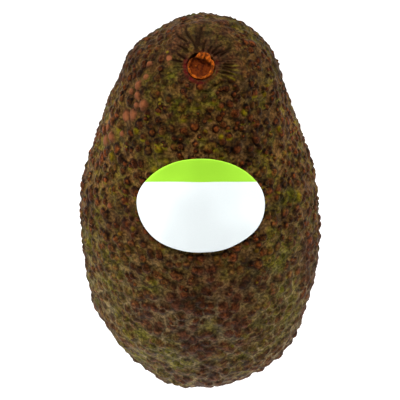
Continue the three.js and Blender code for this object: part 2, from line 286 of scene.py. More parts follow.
@dataclass
class ScarPlace:
    """Where the stem scar lies on the body, with directions of its own: out, across and towards the tip."""

    body: BodyForm
    polar: float = math.radians(26)
    hollow_depth: float = 1.1
    hollow_radius: float = 8.5
    socket_radius: float = 4.25
    socket_depth: float = 2.6
    middle: Array = field(init=False)
    out: Array = field(init=False)
    across: Array = field(init=False)
    tipward: Array = field(init=False)

    def __post_init__(self) -> None:
        """Finds the scar's middle and its directions."""
        middle = self.body.points(np.array([self.polar]), np.array([math.pi / 2]))
        self.middle = middle[0]
        self.out = self.body.normals(middle)[0]
        self.across = np.array([-1.0, 0.0, 0.0])
        self.tipward = np.cross(self.out, self.across)

    def about(self, points: Array) -> tuple[Array, Array, Array]:
        """Where points lie about the scar.

        Args:
            points: Points in the body's own frame, N by 3.

        Returns:
            Distances from the scar's middle, turns about it from across to tipward, and distances from its axis.
        """
        offset = points - self.middle
        along, up = offset @ self.across, offset @ self.tipward
        return np.linalg.norm(offset, axis=-1), np.arctan2(up, along), np.hypot(along, up)

    def on_axis(self, radius: Array, turn: Array, height: Array) -> Array:
        """Points given by distance from the scar's axis, turn about it and height along it."""
        side = (radius * np.cos(turn))[..., None] * self.across
        up = (radius * np.sin(turn))[..., None] * self.tipward
        return self.middle + side + up + height[..., None] * self.out


@dataclass
class Waves:
    """A gentle unevenness: many plane waves of random direction and length, added up."""

    shortest: float
    longest: float
    seed: int
    count: int = 28

    def at(self, points: Array) -> Array:
        """The waves' sum at points, mostly between -1 and 1."""
        draw = np.random.default_rng(self.seed)
        total = np.zeros(points.shape[:-1])
        for _ in range(self.count):
            direction = draw.normal(size=3)
            direction /= np.linalg.norm(direction)
            length = draw.uniform(self.shortest, self.longest)
            total += np.sin(points @ direction * FULL_TURN / length + draw.uniform(0, FULL_TURN))
        return total / math.sqrt(self.count / 2) / 2


@dataclass(frozen=True)
class Scuff:
    """A pebble whose top is rubbed rusty: its polar angle and turn in degrees, and its radius in mm."""

    polar: float
    turn: float
    radius: float = 1.4


@dataclass
class PebbleField:
    """The pebbles of the skin: where each stands, how high it is and how it is coloured."""

    ball: BallMap
    count: int = 2600
    scatter: float = 0.5
    joined_share: float = 0.26
    lowest_crest: float = 0.4
    tallest_crest: float = 1.3
    least_reach: float = 0.8
    most_reach: float = 1.25
    eye_share: float = 0.42
    lime_share: float = 0.3
    neck_crowding: float = 0.4
    seed: int = 11
    scuffs: tuple[Scuff, ...] = (
        Scuff(31.7, 32.1, 1.0), Scuff(36.3, 38.0, 0.9), Scuff(40.7, 34.6, 1.3), Scuff(44.0, 37.9, 1.3),
        Scuff(46.4, 45.5, 1.6), Scuff(47.5, 39.7, 1.0), Scuff(51.0, 38.4, 1.6), Scuff(52.7, 32.3, 1.7),
        Scuff(61.6, 25.6, 1.5), Scuff(64.7, 18.7, 1.8), Scuff(58.5, 34.4, 0.9), Scuff(60.3, 18.8, 1.1),
        Scuff(44.1, 30.2, 0.9), Scuff(25.7, 50.3, 0.9), Scuff(85.8, -2.9, 1.4), Scuff(80.2, 38.4, 0.9),
    )
    sites: Array = field(init=False)
    scuffed: Array = field(init=False)
    label: Array = field(init=False)
    crest: Array = field(init=False)
    reach: Array = field(init=False)
    tone: Array = field(init=False)
    eye: Array = field(init=False)
    lime: Array = field(init=False)
    tree: kdtree.KDTree = field(init=False)

    def __post_init__(self) -> None:
        """Spreads the pebbles along a spiral, scatters them, sets the scuffed ones and joins some pairs."""
        draw = np.random.default_rng(self.seed)
        number = np.arange(self.count)
        crowding = self.neck_crowding
        share = (number + 0.5) / self.count
        share = (1 + crowding - np.sqrt((1 + crowding) ** 2 - 4 * crowding * share)) / (2 * crowding)
        points = self.ball.body.points(self.ball.polar_at_area(share), number * GOLDEN_TURN)
        spacing = math.sqrt(self.ball.area[-1] / self.count)
        points = points + draw.uniform(-1, 1, points.shape) * self.scatter * spacing
        points = self.ball.body.points(*self.ball.body.angles(points))
        angles = np.radians([(scuff.polar, scuff.turn) for scuff in self.scuffs])
        rubbed = self.ball.body.points(angles[:, 0], angles[:, 1])
        radius = np.array([scuff.radius for scuff in self.scuffs])
        apart = np.linalg.norm(points[:, None] - rubbed, axis=-1)
        points = points[(apart > radius + 1.1).all(1)]
        self.sites = np.concatenate([points, rubbed])
        self.count = len(self.sites)
        self.scuffed = np.arange(self.count) >= len(points)
        self.tree = kdtree.KDTree(self.count)
        for i, site in enumerate(self.sites.tolist()):
            self.tree.insert(site, i)
        self.tree.balance()
        self.label = np.arange(self.count)
        for i in np.flatnonzero((draw.random(self.count) < self.joined_share) & ~self.scuffed):
            neighbour = self.tree.find_n(self.sites[i].tolist(), 2)[1][1]
            self.label[i] = self.label[neighbour]
        gap = np.array([self.tree.find_n(site, 3)[2][2] for site in self.sites.tolist()])
        self.reach = gap / 2 * draw.uniform(self.least_reach, self.most_reach, self.count)
        self.reach *= 0.88 + 0.12 * smooth(-20, 20, self.sites[:, 1])
        self.reach[self.scuffed] = radius
        self.crest = draw.uniform(self.lowest_crest, self.tallest_crest, self.count)
        self.tone = draw.random(self.count)
        self.eye = (draw.random(self.count) < self.eye_share) * draw.uniform(0.6, 1, self.count) * ~self.scuffed
        self.lime = (draw.random(self.count) < self.lime_share) * draw.uniform(0.4, 1, self.count) * ~self.scuffed

    def rings(self, shares: Sequence[tuple[float, int]]) -> Array:
        """Points that draw each pebble's round top.

        Args:
            shares: Rings as a share of the pebble's reach and a number of points.

        Returns:
            Every pebble's middle and the points of its rings, in the body's own frame.
        """
        draw = np.random.default_rng(self.seed + 1)
        out = self.ball.body.normals(self.sites)
        side = np.cross(out, [0.0, 1.0, 0.0]) + [1e-6, 0, 0]
        side /= np.linalg.norm(side, axis=-1, keepdims=True)
        up = np.cross(side, out)
        start = draw.uniform(0, FULL_TURN, self.count)
        points = [self.sites]
        for share, count in shares:
            for k in range(count):
                turn = start + FULL_TURN * k / count
                reach = self.reach * share * draw.uniform(0.88, 1.12, self.count)
                offset = np.cos(turn)[:, None] * side + np.sin(turn)[:, None] * up
                points.append(self.sites + reach[:, None] * offset)
        return self.ball.body.points(*self.ball.body.angles(np.concatenate(points)))

    def nearest(self, points: Array) -> tuple[Array, Array, Array, Array]:
        """Finds the pebble that each point belongs to, and how near its border is.

        Args:
            points: Points in the body's own frame, N by 3.

        Returns:
            The pebble's number, the distance to its middle, the distance to its border, and the direction
            across the border.
        """
        found = [self.tree.find_n(point, 6) for point in points.tolist()]
        number = np.array([[entry[1] for entry in entries] for entries in found])
        distance = np.array([[entry[2] for entry in entries] for entries in found])
        own = number[:, 0]
        border = np.full(len(points), 9.0)
        direction = np.zeros_like(points)
        for k in range(1, number.shape[1]):
            other = number[:, k]
            apart = self.sites[other] - self.sites[own]
            gap = np.maximum(np.linalg.norm(apart, axis=-1), 1e-6)
            reach = (distance[:, k] ** 2 - distance[:, 0] ** 2) / (2 * gap)
            nearer = (self.label[other] != self.label[own]) & (reach < border)
            border = np.where(nearer, reach, border)
            direction[nearer] = apart[nearer] / gap[nearer, None]
        return own, distance[:, 0], border, direction


@dataclass(frozen=True)
class Crease:
    """A deep short crease beside the scar: its turn in degrees and its start and end in mm from the scar."""

    turn: float
    start: float = 6.8
    end: float = 10.6


@dataclass
class Furrows:
    """The grooves that fan out from the scar, long towards the neck's tip and short towards the sticker."""

    scar: ScarPlace
    count: int = 64
    start: float = 4.5
    reach_belly: float = 5.5
    reach_tip: float = 18.0
    shallow: float = 0.08
    deep: float = 0.35
    side_creases: tuple[Crease, ...] = (
        Crease(6.5), Crease(-1, 7.0), Crease(-8.5, 6.6), Crease(-16.5, 6.8), Crease(-24.5, 7.0, 10.2),
    )
    long_creases: tuple[Crease, ...] = (
        Crease(108, 4.8, 16.0), Crease(99, 4.8, 11.0), Crease(92, 6.5, 14.0), Crease(80, 4.8, 10.0),
        Crease(61, 5.0, 8.5), Crease(48, 5.2, 10.5), Crease(37, 5.0, 12.0), Crease(28, 6.5, 11.0),
        Crease(133, 6.0, 11.0), Crease(150, 5.2, 9.0), Crease(161, 6.0, 10.0), Crease(120, 9.0, 15.0),
    )
    crease_width: float = 0.36
    crease_depth: float = 0.65
    seed: int = 5

    def reach(self, turn: Array) -> Array:
        """How far from the scar the furrowed skin goes at a turn."""
        lift = (np.sin(turn) + 1) / 2
        beside = bump(turn_gap(turn, math.radians(-9)), 0, 0.42)
        return self.reach_belly + (self.reach_tip - self.reach_belly) * lift ** 1.3 + 4.0 * beside

    def share(self, distance: Array, turn: Array) -> Array:
        """1 where the skin is furrowed, 0 where it is pebbled."""
        reach = self.reach(turn) + 0.9 * np.sin(5 * turn + 1) + 0.6 * np.sin(11 * turn + 4)
        return 1 - smooth(reach - 3.2, reach + 1.8, distance)

    def depth(self, distance: Array, turn: Array) -> Array:
        """Depth of the grooves, in mm.

        Args:
            distance: Distances from the scar's middle.
            turn: Turns about the scar.

        Returns:
            Depths, 0 where there is no groove.
        """
        draw = np.random.default_rng(self.seed)
        total = np.zeros_like(distance)
        for i in range(self.count):
            at = FULL_TURN * (i + draw.uniform(-0.45, 0.45)) / self.count
            reach = float(self.reach(np.array(at))) * draw.uniform(0.6, 1.25)
            begin = self.start + draw.uniform(0, 0.35) * (reach - self.start)
            width = draw.uniform(0.13, 0.28)
            depth = self.shallow + (self.deep - self.shallow) * draw.random() ** 3
            bend = draw.uniform(-0.1, 0.1)
            wave = draw.uniform(0, FULL_TURN)
            line = at + bend * np.log(np.maximum(distance, 1) / self.start) + 0.02 * np.sin(distance * 0.9 + wave)
            away = distance * np.sin(turn_gap(turn, line) / 2) * 2
            along = smooth(begin - 0.8, begin + 0.4, distance) * (1 - smooth(reach - 2, reach + 1, distance))
            total = np.maximum(total, depth * bump(away, 0, width) * along)
        for crease in self.side_creases + self.long_creases:
            bend = 0.05 * np.sin(distance * 0.55 + crease.turn)
            gap = turn_gap(turn, math.radians(crease.turn) + bend)
            along = smooth(crease.start - 0.6, crease.start + 0.3, distance)
            along = along * (1 - smooth(crease.end - 2.0, crease.end + 0.3, distance)) * (np.cos(gap) > 0)
            away = distance * np.sin(gap)
            total = np.maximum(total, self.crease_depth * bump(away, 0, self.crease_width) * along)
        return total

    def streak(self, turn: Array) -> Array:
        """How light the furrowed skin is at a turn, from 0 to 1, in thin rays."""
        draw = np.random.default_rng(self.seed + 1)
        total = np.zeros_like(turn)
        for rays in range(9, 71, 4):
            total += np.sin(rays * turn + draw.uniform(0, FULL_TURN)) * draw.uniform(0.4, 1)
        return np.clip(0.5 + total / 7, 0, 1)

    def stripe(self, distance: Array, turn: Array) -> Array:
        """1 on the yellow ridges between the creases, 0 elsewhere."""
        total = np.zeros_like(distance)
        for crease, other in zip(self.side_creases, self.side_creases[1:]):
            away = distance * np.sin(turn - math.radians((crease.turn + other.turn) / 2))
            total = np.maximum(total, bump(away, 0, 0.25) * bump(distance, crease.end - 1.2, 1.6))
        return 0.4 * total * (np.cos(turn) > 0)


class Mark(Enum):
    """The marks of the skin that its finish reads, each a value from 0 to 1 at every point."""

    CREST = "crest"
    TONE = "tone"
    # Painted shade round each pebble's foot and on its tipward side.
    FOOT_SHADE = "foot_shade"
    BLOSSOM = "blossom"
    EYE = "eye"
    # Pale net between the pebbles: paler skin with painted sheen.
    NET_SHEEN = "net"
    LIME = "lime"
    GREEN = "green"
    PLUM = "plum"
    DARK = "dark"
    SCUFF = "scuff"
    HALO = "halo"
    FURROWED = "furrowed"
    GROOVE_SHADE = "groove"
    # Painted shade in the creases round the scar.
    SOCKET_SHADOW = "socket"
# Painted shadow in the socket round the stem stub.


def mesh_object(name: str, points: Array, faces: Sequence[Sequence[int]], is_smooth: bool = True) -> bpy.types.Object:
    """Makes an object at the origin from points in metres.

    Args:
        name: Name of the piece.
        points: Points, N by 3.
        faces: Each face as point numbers.
        is_smooth: Whether its faces are shaded smooth.

    Returns:
        The object, linked to the scene.
    """
    mesh = bpy.data.meshes.new(name)
    mesh.from_pydata(points.tolist(), [], faces)
    mesh.update()
    mesh.shade_smooth() if is_smooth else mesh.shade_flat()
    piece = bpy.data.objects.new(name, mesh)
    bpy.context.scene.collection.objects.link(piece)
    return piece


def ring_faces(rings: int, around: int) -> list[tuple[int, ...]]:
    """Faces of a closed body made of a start point, rings of points and an end point.

    Args:
        rings: How many rings there are.
        around: How many points each ring has.

    Returns:
        Faces that point outwards where the rings run counterclockwise seen from outside the start.
    """
    def at(ring: int, i: int) -> int:
        """Number of a ring's point."""
        return 1 + ring * around + i % around
    end = 1 + rings * around
    faces: list[tuple[int, ...]] = []
    for i in range(around):
        faces.append((0, at(0, i), at(0, i + 1)))
        for ring in range(rings - 1):
            faces.append((at(ring, i), at(ring + 1, i), at(ring + 1, i + 1), at(ring, i + 1)))
        faces.append((at(rings - 1, i + 1), at(rings - 1, i), end))
    return faces


class Bench:
    """Adds shader nodes to one tree and joins them."""

    def __init__(self, tree: bpy.types.NodeTree) -> None:
        """Keeps the tree to work on."""
        self.tree = tree

    def node(self, kind: str, **settings: object) -> bpy.types.Node:
        """Adds a node and sets its properties."""
        node = self.tree.nodes.new(kind)
        for name, value in settings.items():
            setattr(node, name, value)
        return node

    def put(self, socket: Socket, value: Optional[Value]) -> None:
        """Joins a socket to an input, or sets the input to a value."""
        if isinstance(value, Socket):
            self.tree.links.new(value, socket)
        elif value is not None:
            socket.default_value = value

    def math(self, operation: str, a: Value, b: Optional[Value] = None, clamp: bool = False) -> Socket:
        """Adds one sum of one or two values."""
        node = self.node("ShaderNodeMath", operation=operation, use_clamp=clamp)
        self.put(node.inputs[0], a)
        self.put(node.inputs[1], b)
        return node.outputs[0]

    def times(self, a: Value, b: Value) -> Socket:
        """Multiplies two values."""
        return self.math("MULTIPLY", a, b)

    def plus(self, a: Value, b: Value, clamp: bool = False) -> Socket:
        """Adds two values, and may keep the sum between 0 and 1."""
        return self.math("ADD", a, b, clamp)

    def less(self, value: Value) -> Socket:
        """One minus a value."""
        return self.math("SUBTRACT", 1.0, value)

    def blend(self, share: Value, a: Value, b: Value) -> Socket:
        """Goes from value a to value b by a share."""
        return self.plus(self.times(self.less(share), a), self.times(share, b))

    def rise(self, value: Value, low: float, high: float, start: float = 0.0, end: float = 1.0) -> Socket:
        """Maps a value smoothly from one range to another.

        Args:
            value: What to map.
            low: Value that gives start.
            high: Value that gives end.
            start: Result at low.
            end: Result at high.

        Returns:
            The result.
        """
        node = self.node("ShaderNodeMapRange", interpolation_type="SMOOTHSTEP")
        for name, number in (("From Min", low), ("From Max", high), ("To Min", start), ("To Max", end)):
            node.inputs[name].default_value = number
        self.put(node.inputs["Value"], value)
        return node.outputs["Result"]

    def mix(self, factor: Value, a: Value, b: Value, blend: str = "MIX") -> Socket:
        """Mixes two colours by a factor."""
        node = self.node("ShaderNodeMix", data_type="RGBA", blend_type=blend)
        self.put(node.inputs[0], factor)
        self.put(node.inputs[6], a)
        self.put(node.inputs[7], b)
        return node.outputs[2]

    def noise(self, vector: Socket, scale: Value, detail: float = 3.0, rough: float = 0.55) -> Socket:
        """Adds a cloudy noise and returns its value."""
        node = self.node("ShaderNodeTexNoise")
        node.inputs["Detail"].default_value = detail
        node.inputs["Roughness"].default_value = rough
        self.put(node.inputs["Vector"], vector)
        self.put(node.inputs["Scale"], scale)
        return node.outputs["Fac"]

    def mark(self, mark: Mark) -> Socket:
        """Reads one of the skin's marks."""
        return self.node("ShaderNodeAttribute", attribute_name=mark.value).outputs["Fac"]

    def place(self) -> Socket:
        """The place on the piece, in metres."""
        return self.node("ShaderNodeTexCoord").outputs["Object"]

    def group(self, tree: bpy.types.NodeTree, **inputs: Value) -> bpy.types.Node:
        """Places a shared effect and sets its inputs by name."""
        node = self.node("ShaderNodeGroup", node_tree=tree)
        for name, value in inputs.items():
            self.put(node.inputs[name], value)
        return node


class Effects:
    """Effects that more than one finish uses, each built once as a node group."""

    def __init__(self) -> None:
        """Builds every group."""
        self.mottle = self._mottle()
        self.flecks = self._flecks()
        self.grain = self._grain()

    @staticmethod
    def _tree(name: str, inputs: dict[str, tuple[str, float]], outputs: Sequence[str]) -> bpy.types.NodeTree:
        """Starts a group with named inputs and outputs.

        Args:
            name: The group's name.
            inputs: Socket kinds and starting values by name.
            outputs: Names of the values that it gives.

        Returns:
            The group's tree.
        """
        tree = bpy.data.node_groups.new(name, "ShaderNodeTree")
        tree.interface.new_socket(name="Vector", in_out="INPUT", socket_type="NodeSocketVector")
        for label, (kind, value) in inputs.items():
            socket = tree.interface.new_socket(name=label, in_out="INPUT", socket_type=kind)
            socket.default_value = value
        for label in outputs:
            tree.interface.new_socket(name=label, in_out="OUTPUT", socket_type="NodeSocketFloat")
        return tree

    def _mottle(self) -> bpy.types.NodeTree:
        """Cloudy patches with soft edges, wanted at a size and in an amount."""
        number = "NodeSocketFloat"
        tree = self._tree("Mottle", {"Scale": (number, 100.0), "Amount": (number, 0.5)}, ["Mask"])
        bench = Bench(tree)
        given = bench.node("NodeGroupInput").outputs
        cloud = bench.noise(given["Vector"], given["Scale"], 4.0, 0.6)
        level = bench.math("SUBTRACT", bench.plus(cloud, given["Amount"]), 0.5)
        result = bench.rise(level, 0.42, 0.58)
        bench.put(bench.node("NodeGroupOutput").inputs["Mask"], result)
        return tree

    def _flecks(self) -> bpy.types.NodeTree:
        """Small round flecks strewn over the surface, with a ring around each."""
        number = "NodeSocketFloat"
        inputs = {"Scale": (number, 300.0), "Share": (number, 0.2), "Size": (number, 0.25)}
        tree = self._tree("Flecks", inputs, ["Fleck", "Ring"])
        bench = Bench(tree)
        given = bench.node("NodeGroupInput").outputs
        cells = bench.node("ShaderNodeTexVoronoi", feature="F1")
        bench.put(cells.inputs["Vector"], given["Vector"])
        bench.put(cells.inputs["Scale"], given["Scale"])
        pick = bench.node("ShaderNodeSeparateColor")
        bench.put(pick.inputs[0], cells.outputs["Color"])
        chosen = bench.math("LESS_THAN", pick.outputs[0], given["Share"])
        relative = bench.math("DIVIDE", cells.outputs["Distance"], given["Size"])
        fleck = bench.times(bench.rise(relative, 0.6, 1.0, 1.0, 0.0), chosen)
        inner = bench.rise(relative, 0.8, 1.2)
        outer = bench.rise(relative, 1.5, 2.1, 1.0, 0.0)
        ring = bench.times(bench.times(inner, outer), chosen)
        result = bench.node("NodeGroupOutput")
        bench.put(result.inputs["Fleck"], fleck)
        bench.put(result.inputs["Ring"], ring)
        return tree

    def _grain(self) -> bpy.types.NodeTree:
        """Fine grain of a surface, as a height: broad waviness and a finer tooth."""
        tree = self._tree("Grain", {"Scale": ("NodeSocketFloat", 900.0)}, ["Height"])
        bench = Bench(tree)
        given = bench.node("NodeGroupInput").outputs
        broad = bench.noise(given["Vector"], given["Scale"], 2.0, 0.5)
        fine = bench.noise(given["Vector"], bench.times(given["Scale"], 3.1), 2.0, 0.6)
        height = bench.plus(bench.times(broad, 0.7), bench.times(fine, 0.3))
        bench.put(bench.node("NodeGroupOutput").inputs["Height"], height)
        return tree


def new_material(name: str) -> tuple[bpy.types.Material, Bench, bpy.types.Node]:
    """Starts a material and returns it with its bench and its surface shader."""
    material = bpy.data.materials.new(name)
    material.use_nodes = True
    shader = material.node_tree.nodes["Principled BSDF"]
    return material, Bench(material.node_tree), shader


def add_bump(bench: Bench, height: Socket, distance: float, strength: float, under: Optional[Socket] = None) -> Socket:
    """Turns a height into a normal.

    Args:
        bench: Where the node is added.
        height: Height from 0 to 1.
        distance: Metres that a height of 1 stands for.
        strength: How much of it shows.
        under: A normal that it adds to.

    Returns:
        The normal.
    """
    node = bench.node("ShaderNodeBump")
    node.inputs["Distance"].default_value = distance
    node.inputs["Strength"].default_value = strength
    bench.put(node.inputs["Height"], height)
    bench.put(node.inputs["Normal"], under)
    return node.outputs["Normal"]


@dataclass(frozen=True)
class SkinFinish:
    """Waxy pebbled skin: maroon pebbles on olive, pale nets, rusty scuffs and a crimson ring at the scar."""

    brown: Colour = colour(88, 60, 28)
    green: Colour = colour(78, 74, 14)
    # grey is the colour of a painted sheen that veils the ground.
    grey: Colour = colour(98, 84, 58)
    straw: Colour = colour(106, 90, 60)
    moss: Colour = colour(86, 80, 26)
    maroon: Colour = colour(86, 40, 12)
    umber: Colour = colour(50, 24, 6)
    dusk: Colour = colour(70, 32, 12)
    plum: Colour = colour(66, 36, 22)
    earth: Colour = colour(78, 40, 26)
    rust: Colour = colour(60, 38, 16)
    ash: Colour = colour(72, 56, 30)
    # dark is the painted shade at the pebbles' feet and in the creases, and the eyes' dark rings.
    dark: Colour = colour(22, 8, 1)
    # net is paler skin between the pebbles with painted sheen.
    net: Colour = colour(114, 98, 70)
    scuff: Colour = colour(120, 70, 42)
    eye: Colour = colour(112, 52, 14)
    lime: Colour = colour(140, 126, 6)
    halo: Colour = colour(74, 12, 12)
    # socket is the painted shadow in the recess round the stem stub.
    socket: Colour = colour(26, 8, 4)
    roughness: float = 0.55

    def material(self, effects: Effects) -> bpy.types.Material:
        """Builds the material.

        Args:
            effects: The shared effects.

        Returns:
            The finished material.
        """
        material, bench, shader = new_material("pebbled skin")
        place = bench.place()
        crest, tone = bench.mark(Mark.CREST), bench.mark(Mark.TONE)
        wide = bench.noise(place, 60.0, 3.0)
        fine = bench.noise(place, 620.0, 4.0, 0.7)
        patches = bench.group(effects.mottle, Vector=place, Scale=170.0, Amount=0.47).outputs["Mask"]
        greened = bench.times(patches, bench.rise(wide, 0.35, 0.6, 0.15, 0.7))
        green = bench.times(bench.mark(Mark.GREEN), bench.rise(fine, 0.35, 0.6, 0.1, 0.9))
        greened = bench.plus(greened, green, True)
        ground = bench.mix(greened, self.brown, self.green)
        # Painted sheen: a grey veil over the ground, stronger towards the blossom end.
        sheen_veil = bench.noise(place, 330.0, 2.0)
        lower = bench.mark(Mark.BLOSSOM)
        sheen_veil = bench.times(bench.rise(sheen_veil, 0.45, 0.75, 0.0, 0.6), bench.rise(lower, 0.0, 0.4, 0.45, 1.0))
        ground = bench.mix(sheen_veil, ground, self.grey)
        pale = bench.mix(greened, self.straw, self.moss)
        ground = bench.mix(bench.times(lower, 0.65), ground, pale)
        furrowed = bench.mark(Mark.FURROWED)
        rays = bench.mix(bench.rise(tone, 0.25, 0.75), self.rust, self.ash)
        earthy = bench.group(effects.mottle, Vector=place, Scale=230.0, Amount=0.52).outputs["Mask"]
        rays = bench.mix(bench.times(earthy, 0.75), rays, self.earth)
        rays = bench.mix(bench.times(patches, 0.4), rays, self.green)
        ground = bench.mix(bench.times(furrowed, 0.7), ground, rays)
        top = bench.mix(bench.rise(tone, 0.2, 0.5), self.umber, self.maroon)
        top = bench.mix(bench.times(lower, 0.65), top, self.dusk)
        top = bench.mix(bench.times(greened, 0.85), top, ground)
        ripeness = bench.plus(bench.times(crest, 0.9), bench.times(tone, 0.3))
        ripeness = bench.plus(ripeness, bench.times(fine, 0.9))
        ripeness = bench.plus(ripeness, bench.times(lower, 0.2))
        crisp = bench.rise(ripeness, 0.9, 1.18, 0.0, 0.95)
        soft = bench.rise(ripeness, 0.85, 1.25, 0.0, 0.95)
        ripe = bench.times(bench.blend(lower, crisp, soft), bench.less(furrowed))
        base = bench.mix(ripe, ground, top)
        # Painted shade: darkens each pebble's foot and a crescent on its tipward side, mottled, and less in the green
        # patches.
        shade_mottle = bench.group(effects.mottle, Vector=place, Scale=300.0, Amount=0.5).outputs["Mask"]
        foot_shade = bench.mark(Mark.FOOT_SHADE)
        foot_shade = bench.blend(lower, bench.rise(foot_shade, 0.12, 0.8), foot_shade)
        shade = bench.times(foot_shade, bench.rise(shade_mottle, 0.0, 1.0, 0.65, 1.0))
        shade = bench.times(shade, bench.rise(greened, 0.2, 0.9, 1.0, 0.45))
        base = bench.mix(shade, base, self.dark)
        cloud = bench.rise(bench.noise(place, 480.0, 3.0), 0.37, 0.63, 0.6, 1.45)
        # Pale net between the pebbles, mostly towards the blossom end: paler skin with painted sheen.
        net = bench.rise(bench.mark(Mark.NET_SHEEN), 0.3, 0.8)
        base = bench.mix(bench.times(net, bench.rise(fine, 0.38, 0.58, 0.1, 0.9)), base, self.net)
        plum = bench.times(bench.mark(Mark.PLUM), bench.rise(fine, 0.25, 0.6, 0.2, 0.75))
        base = bench.mix(plum, base, self.plum)
        value = bench.rise(bench.noise(place, 1300.0, 2.0), 0.36, 0.64, 0.55, 1.45)
        value = bench.times(value, bench.rise(bench.mark(Mark.DARK), 0.1, 1.0, 1.0, 0.52))
        value = bench.times(value, cloud)
        grey = bench.node("ShaderNodeCombineColor")
        for socket in grey.inputs[:3]:
            bench.put(socket, value)
        base = bench.mix(1.0, base, grey.outputs[0], "MULTIPLY")
        flecks = bench.group(effects.flecks, Vector=place, Scale=420.0, Share=0.05, Size=0.25)
        base = bench.mix(bench.times(flecks.outputs["Fleck"], 0.3), base, self.lime)
        base = bench.mix(bench.times(bench.mark(Mark.LIME), bench.rise(fine, 0.3, 0.5)), base, self.lime)
        eye = bench.mark(Mark.EYE)
        base = bench.mix(bench.rise(eye, 0.12, 0.4, 0.0, 0.6), base, self.dark)
        base = bench.mix(bench.rise(eye, 0.6, 0.9, 0.0, 0.9), base, self.eye)
        # Painted shade in the creases round the scar.
        groove = bench.mark(Mark.GROOVE_SHADE)
        base = bench.mix(bench.times(groove, 0.85), base, self.dark)
        halo = bench.mark(Mark.HALO)
        base = bench.mix(bench.times(halo, bench.rise(fine, 0.35, 0.6, 0.25, 0.95)), base, self.halo)
        scuff = bench.mark(Mark.SCUFF)
        base = bench.mix(bench.times(scuff, bench.rise(fine, 0.3, 0.6, 0.6, 1.0)), base, self.scuff)
        # Painted shadow in the socket round the stem stub.
        socket = bench.mark(Mark.SOCKET_SHADOW)
        base = bench.mix(socket, base, self.socket)
        bench.put(shader.inputs["Base Color"], base)
        rough = bench.rise(fine, 0.3, 0.7, self.roughness - 0.1, self.roughness + 0.12)
        bench.put(shader.inputs["Roughness"], rough)
        shader.inputs["Specular IOR Level"].default_value = 0.025
        shader.inputs["Sheen Weight"].default_value = 0.025
        shader.inputs["Sheen Roughness"].default_value = 0.35
        shader.inputs["Sheen Tint"].default_value = (1.0, 0.8, 0.54, 1.0)
        grain = bench.group(effects.grain, Vector=place, Scale=1100.0).outputs["Height"]
        normal = add_bump(bench, grain, 0.00035, 0.8)
        bench.put(shader.inputs["Normal"], normal)
        return material


@dataclass(frozen=True)
class DriedStemFinish:
    """Dry torn stem tissue: bright orange on its rim, dark rusty brown in its hollow."""

    rim: Colour = colour(156, 74, 12)
    floor: Colour = colour(92, 36, 4)
    burnt_and_shade: Colour = colour(50, 16, 2)
    straw: Colour = colour(190, 110, 30)

    def material(self, effects: Effects) -> bpy.types.Material:
        """Builds the material.

        Args:
            effects: The shared effects.

        Returns:
            The finished material.
        """
        material, bench, shader = new_material("dried stem")
        place = bench.place()
        height = bench.node("ShaderNodeAttribute", attribute_name="rim").outputs["Fac"]
        cloud = bench.noise(place, 900.0, 4.0, 0.65)
        level = bench.plus(height, bench.times(bench.math("SUBTRACT", cloud, 0.5), 0.7))
        base = bench.mix(bench.rise(level, 0.45, 0.95), self.floor, self.rim)
        # Random burnt-brown mottle; the painted shade on the stub's upper left comes through the rim mark.
        burnt_and_shade = bench.group(effects.mottle, Vector=place, Scale=800.0, Amount=0.48).outputs["Mask"]
        base = bench.mix(bench.times(burnt_and_shade, 0.8), base, self.burnt_and_shade)
        flecks = bench.group(effects.flecks, Vector=place, Scale=1500.0, Share=0.2, Size=0.35)
        base = bench.mix(bench.times(flecks.outputs["Fleck"], 0.25), base, self.straw)
        bench.put(shader.inputs["Base Color"], base)
        bench.put(shader.inputs["Roughness"], bench.rise(cloud, 0.3, 0.7, 0.6, 0.85))
        shader.inputs["Specular IOR Level"].default_value = 0.05
        grain = bench.group(effects.grain, Vector=place, Scale=2200.0).outputs["Height"]
        bench.put(shader.inputs["Normal"], add_bump(bench, grain, 0.0004, 1.0))
        return material


@dataclass(frozen=True)
class StickerFinish:
    """Satin coated paper, pale, with a printed green band across its top."""

    pale: Colour = colour(236, 243, 244)
    band: Colour = colour(160, 222, 52)
    band_edge: float = 0.75

    def material(self, effects: Effects) -> bpy.types.Material:
        """Builds the material.

        Args:
            effects: The shared effects.

        Returns:
            The finished material.
        """
        material, bench, shader = new_material("sticker paper")
        place = bench.place()
        height = bench.node("ShaderNodeAttribute", attribute_name="rise").outputs["Fac"]
        fibre = bench.noise(place, 2600.0, 3.0, 0.6)
        inked = bench.rise(height, self.band_edge - 0.003, self.band_edge + 0.003)
        base = bench.mix(inked, self.pale, self.band)
        base = bench.mix(bench.rise(fibre, 0.35, 0.75, 0.0, 0.06), base, colour(214, 222, 222), "MULTIPLY")
        bench.put(shader.inputs["Base Color"], base)
        bench.put(shader.inputs["Roughness"], bench.rise(fibre, 0.3, 0.7, 0.5, 0.6))
        shader.inputs["Specular IOR Level"].default_value = 0.15
        grain = bench.group(effects.grain, Vector=place, Scale=1500.0).outputs["Height"]
        bench.put(shader.inputs["Normal"], add_bump(bench, grain, 0.00004, 0.5))
        return material


@dataclass(frozen=True)
class FloorFinish:
    """A pale table lit from within, so that it stays white right up to the fruit."""

    glow: float = 0.92

    def material(self) -> bpy.types.Material:
        """Builds the material."""
        material, bench, shader = new_material("pale table")
        cloud = bench.noise(bench.place(), 4.0, 2.0)
        shade = bench.mix(cloud, colour(170, 170, 170), colour(176, 176, 176))
        bench.put(shader.inputs["Base Color"], shade)
        shader.inputs["Roughness"].default_value = 0.9
        shader.inputs["Emission Color"].default_value = (1, 1, 1, 1)
        shader.inputs["Emission Strength"].default_value = self.glow
        return material


@dataclass(frozen=True)
class Patch:
    """A broad stain of the skin: its tint, polar angle and turn in degrees, radius in mm and strength up to 1."""

    tint: Mark
    polar: float
    turn: float
    radius: float
    strength: float = 1.0


